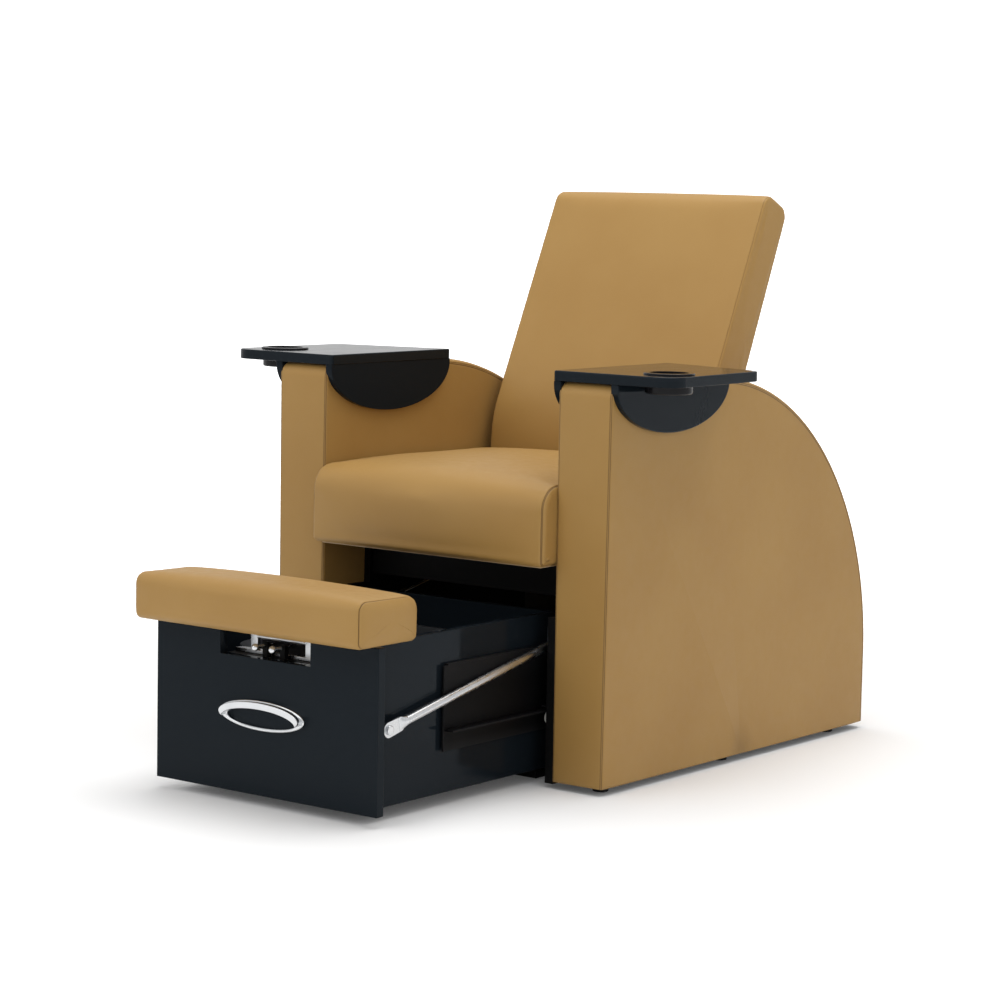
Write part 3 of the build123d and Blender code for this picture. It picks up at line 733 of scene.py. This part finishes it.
def back():
    """Back cushion: leaning slab with its top end square to the face, side panels sewn in."""
    lo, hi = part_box("back_cushion")
    shape = NODES["back_cushion"].data
    tall = hi.z - lo.z
    low, high = lo.z + 0.42 * tall, lo.z + 0.82 * tall
    y_low, y_high = min(section_y(shape, low)), min(section_y(shape, high))
    lean = atan2(y_high - y_low, high - low)
    up, deep = np.array((sin(lean), cos(lean))), np.array((cos(lean), -sin(lean)))
    thick = (max(section_y(shape, high)) - y_high) * cos(lean)
    roll = 26 * MM
    level = hi.z - roll + roll * sin(lean)
    on_face = np.array((y_low + (level - low) * tan(lean), level))
    top_front = on_face + up * roll
    bend = np.array((y_low, low)) - up * 140 * MM
    foot = np.array((min(section_y(shape, lo.z + 30 * MM)), lo.z))
    rear_foot = np.array((max(section_y(shape, lo.z + 30 * MM)), lo.z))
    corners = [
        (foot, 14 * MM),
        (bend, 200 * MM),
        (top_front, roll),
        (top_front + deep * thick, 25 * MM),
        (rear_foot, 12 * MM),
    ]
    path = outline(corners, 5 * MM, True)
    look = {
        "crease": 0.7 * MM,
        "ridge": 0.0,
        # Painted shade along the seam creases is weaker on the back cushion.
        "dark": 0.45,
        "pull": 0.6 * MM,
        "pucker": 0.3 * MM,
        "waves": (15 * MM, 26 * MM, 47 * MM),
        "seed": 23,
        "strip_crown": 2.5 * MM,
        "side_crown": 2.0 * MM,
        "inset": 5 * MM,
        "rows": (16, 4),
    }
    half = hi.x + 1.5 * MM
    middle = (foot + rear_foot + top_front + top_front + deep * thick) / 4
    edge, seam = 7 * MM, 1 * MM
    piece = padded_form("back_leather", path, True, half, edge, across_x, middle, seam, look)

    def held(points):
        behind = np.clip(((points[:, 1:] - on_face) @ deep - thick + 40 * MM) / (25 * MM), 0, 1)
        ends = np.clip((np.abs(points[:, 0]) - half + 14 * MM) / (8 * MM), 0, 1)
        low_end = np.clip((lo.z + 60 * MM - points[:, 2]) / (40 * MM), 0, 1)
        return np.maximum(np.maximum(behind, ends), low_end)

    inflate(piece, held, 5 * MM)
    finish_soft(piece, "back_rest", "back_cushion")


def rear_face(node):
    """y of a leaning node's rear face, carried on to its lowest and highest z."""
    lo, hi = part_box(node)
    low, high = lo.z + 60 * MM, hi.z - 60 * MM
    y_low, y_high = (max(section_y(NODES[node].data, z)) for z in (low, high))
    slope = (y_high - y_low) / (high - low)
    return y_low + slope * (lo.z - low), y_low + slope * (hi.z - low)


def section_y(mesh, z):
    """y of every point where a mesh's edges cross a height."""
    points = coordinates(mesh)
    found = []
    for edge in mesh.edges:
        a, b = points[edge.vertices[0]], points[edge.vertices[1]]
        if (a[2] - z) * (b[2] - z) < 0:
            share = (z - a[2]) / (b[2] - a[2])
            found.append(a[1] + share * (b[1] - a[1]))
    return found


def footrest():
    """Footrest cushion: firm pad with end panels and a slightly crowned top."""
    lo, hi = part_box("footrest_cushion")
    front = lo.y - 11 * MM  # foam rolls forward over the board's edge
    top = hi.z - 5 * MM
    corners = [
        ((front, lo.z), 12 * MM),
        ((front, top), 20 * MM),
        ((hi.y, top - 3 * MM), 28 * MM),
        ((hi.y, lo.z), 12 * MM),
    ]
    path = outline(corners, 4 * MM, True)
    look = {
        "crease": 1.1 * MM,
        "ridge": 0.0,
        "pull": 1.1 * MM,
        "pucker": 0.25 * MM,
        "waves": (12 * MM, 19 * MM, 37 * MM),
        "seed": 31,
        "strip_crown": 4.5 * MM,
        "side_crown": 8.0 * MM,
        "box_dome": True,
        "inset": 3 * MM,
        "rows": (16, 2),
    }
    half = (hi.x - lo.x) / 2 + 0.5 * MM
    centre = ((front + hi.y) / 2, (lo.z + hi.z) / 2)
    edge, seam = 6 * MM, -1 * MM
    piece = padded_form("footrest_leather", path, True, half, edge, across_x, centre, seam, look)

    def held(points):
        low = np.clip((lo.z + 20 * MM - points[:, 2]) / (15 * MM), 0, 1)
        ends = np.clip((np.abs(points[:, 0]) - half + 8 * MM) / (6 * MM), 0, 1)
        return np.maximum(low, ends)

    inflate(piece, held, 2 * MM, voxel=6 * MM)
    finish_soft(piece, "footrest", "footrest_cushion")


def upholstered_panel(name, path, half, thick, place, crown):
    """A thin padded panel that follows an open path: puffed outer face, rounded rim, lined inside."""
    points, normals, along = path
    r = thick / 2
    outer_count, inner_count = 41, 13
    face = np.linspace(-1, 1, outer_count)
    rim = np.linspace(0, pi, 9)[1:-1]
    inner = np.linspace(1, -1, inner_count)
    ring_a = [*(face * (half - r)), *(half - r + r * np.sin(rim)), *(inner * (half - r))]
    ring_a += list(-(half - r) - r * np.sin(rim))
    ring_o = [*np.full(outer_count, r), *(r * np.cos(rim))]
    ring_o += [*np.full(inner_count, -r), *(-r * np.cos(rim))]
    swell = np.concatenate([1 - np.abs(face) ** 4, np.zeros(len(ring_a) - outer_count)])
    ring_a, ring_o = np.array(ring_a), np.array(ring_o)
    edge = np.minimum(along, along[-1] - along)
    full = np.sqrt(np.clip(1 - (1 - np.clip(edge / r, 0, 1)) ** 2, 0, 1))[:, None]
    fade = 1 - np.exp(-((edge / (25 * MM)) ** 2))[:, None]
    out = -r + ring_o[None, :] * full + crown * swell[None, :] * fade
    across = np.broadcast_to(ring_a, out.shape)
    p = points[:, 0:1] + normals[:, 0:1] * out
    q = points[:, 1:2] + normals[:, 1:2] * out
    world = np.stack(place(p, q, across), axis=-1)
    rows, count = out.shape
    faces = []
    for i in range(rows - 1):
        for j in range(count):
            k = (j + 1) % count
            here, there = i * count, (i + 1) * count
            faces.append((here + j, there + j, there + k, here + k))
    mesh = bpy.data.meshes.new(name)
    mesh.from_pydata([tuple(v) for v in world.reshape(-1, 3)], [], faces)
    mesh.materials.append(MATERIALS["leather"])
    mesh.materials.append(MATERIALS["dust_cover"])
    first = outer_count + len(rim)
    lining = range(first, first + inner_count - 1)
    for number, polygon in enumerate(mesh.polygons):
        polygon.material_index = int(number % count in lining)
    weld_points(mesh)
    make_outward(mesh)
    mesh.shade_smooth()
    made = bpy.data.objects.new(name, mesh)
    bpy.context.scene.collection.objects.link(made)
    return made


def weld_points(mesh):
    """Join points that lie on each other."""
    work = bmesh.new()
    work.from_mesh(mesh)
    bmesh.ops.remove_doubles(work, verts=work.verts, dist=0.01 * MM)
    work.to_mesh(mesh)
    work.free()


def rear_panel():
    """Leather panel behind the drawer bay: upright, then rolled over between the arms."""
    lo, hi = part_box("rear_panel")
    radius = ARM_ARC - PANEL_T
    end = radians(46)
    bend = hi.z - radius * sin(end)
    steps = 60
    points = [(hi.y, lo.z + (bend - lo.z) * k / steps) for k in range(steps)]
    normals = [(1.0, 0.0)] * steps
    for k in range(steps + 1):
        angle = end * k / steps
        points.append((hi.y - radius + radius * cos(angle), bend + radius * sin(angle)))
        normals.append((cos(angle), sin(angle)))
    points, normals = np.array(points), np.array(normals)
    gaps = np.linalg.norm(np.diff(points, axis=0), axis=1)
    path = points, normals, np.concatenate([[0.0], np.cumsum(gaps)])
    piece = upholstered_panel("rear_panel_leather", path, hi.x, PANEL_T, across_x, 2.5 * MM)
    finish_soft(piece, "chassis", "rear_panel")


def back_cover():
    """Leather-covered closing panel on the rear of the back rest."""
    lo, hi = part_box("back_cover")
    low, high = rear_face("back_cover")
    way = np.array((high - low, hi.z - lo.z))
    length = np.linalg.norm(way)
    way /= length
    margin = 2 * MM
    start = np.array((low, lo.z)) + way * margin
    ends = np.linspace(0, 0.01, 6), np.linspace(0.99, 1, 6)
    share = np.concatenate([ends[0], np.linspace(0.01, 0.99, 60)[1:-1], ends[1]])
    along = share * (length - 2 * margin)
    points = start + along[:, None] * way
    normals = np.broadcast_to(np.array((way[1], -way[0])), points.shape)
    path = points, normals, along
    piece = upholstered_panel("back_cover_leather", path, hi.x, 3.4 * MM, across_x, 2.5 * MM)
    finish_soft(piece, "back_rest", "back_cover")


# ---------------------------------------------------------------- stage, lights and camera
def stage():
    """Pale sweep: a floor that curves up into a backdrop far behind."""
    size = 9.0
    rise = 3.0
    steps = 24
    path = [(-size, 0.0), (size - rise, 0.0)]
    for k in range(1, steps + 1):
        angle = pi / 2 * k / steps
        path.append((size - rise + rise * sin(angle), rise - rise * cos(angle)))
    path.append((size, size))
    verts = [(x, y, z) for y, z in path for x in (-2 * size, 2 * size)]
    faces = [(2 * i, 2 * i + 1, 2 * i + 3, 2 * i + 2) for i in range(len(path) - 1)]
    mesh = bpy.data.meshes.new("floor")
    mesh.from_pydata(verts, [], faces)
    mesh.shade_smooth()
    floor = bpy.data.objects.new("floor", mesh)
    bpy.context.scene.collection.objects.link(floor)
    made, tree, shader, place = new_material("floor")
    cloud = noise(tree, place, 2.0, 2.0)
    colour = mix_colour(tree, cloud, (0.90, 0.90, 0.90), (0.93, 0.93, 0.93))
    # Away from the chair the floor fades to white, but only as the camera sees it.
    seen = add_node(tree, "ShaderNodeLightPath").outputs["Is Camera Ray"]
    far = add_node(tree, "ShaderNodeVectorMath", {"operation": "LENGTH"}, Vector=place)
    glow = add_node(tree, "ShaderNodeMath", {"operation": "MULTIPLY"})
    tree.links.new(seen, glow.inputs[0])
    tree.links.new(remap(tree, far.outputs["Value"], 0.05, 1.0, 1.2, 3.5), glow.inputs[1])
    connect(tree, shader, Base_Color=colour, Roughness=0.7, Specular_IOR_Level=0.2)
    connect(tree, shader, Emission_Color=(1.0, 1.0, 1.0), Emission_Strength=glow.outputs["Value"])
    mesh.materials.append(made)


def area_light(name, spot, target, power):
    """Large square light that looks at a point."""
    data = bpy.data.lights.new(name, "AREA")
    data.shape = "SQUARE"
    data.size = 3.0
    data.energy = power
    light = bpy.data.objects.new(name, data)
    light.location = spot
    way = Vector(target) - Vector(spot)
    light.rotation_euler = way.to_track_quat("-Z", "Y").to_euler()
    bpy.context.scene.collection.objects.link(light)


def lighting():
    """Plain soft studio light: white world, a large light from the front and one from above."""
    world = bpy.data.worlds.new("studio")
    bpy.context.scene.world = world
    world.use_nodes = True
    tree = world.node_tree
    back = tree.nodes["Background"]
    back.inputs["Color"].default_value = (1.0, 1.0, 1.0, 1.0)
    seen = add_node(tree, "ShaderNodeLightPath").outputs["Is Camera Ray"]
    tree.links.new(remap(tree, seen, 0.75, 1.0), back.inputs["Strength"])
    area_light("key", (-1.6, -4.5, 3.4), (0.0, -0.1, 0.5), 34.0)
    area_light("top", (0.3, 0.2, 4.0), (0.0, 0.0, 0.5), 95.0)


def camera():
    """Camera with a long lens, in front of the chair, to its +X side and a little above the arms."""
    yaw, pitch, roll = 0.65196, 0.10984, 0.01986
    forward = Vector((-sin(yaw) * cos(pitch), cos(yaw) * cos(pitch), -sin(pitch)))
    level = Vector((cos(yaw), sin(yaw), 0.0))
    upright = level.cross(forward)
    right = level * cos(roll) + upright * sin(roll)
    up = upright * cos(roll) - level * sin(roll)
    data = bpy.data.cameras.new("camera")
    data.sensor_width = 36.0
    data.lens = 103.41
    data.clip_end = 100.0
    made = bpy.data.objects.new("camera", data)
    turn = Matrix((right, up, -forward)).transposed()
    made.matrix_world = Matrix.Translation((3.1611, -4.1499, 1.0433)) @ turn.to_4x4()
    bpy.context.scene.collection.objects.link(made)
    bpy.context.scene.camera = made


dress_cad_nodes()
arm("left")
arm("right")
seat()
back()
footrest()
rear_panel()
back_cover()
stage()
lighting()
camera()
bpy.context.scene.view_settings.view_transform = "Standard"
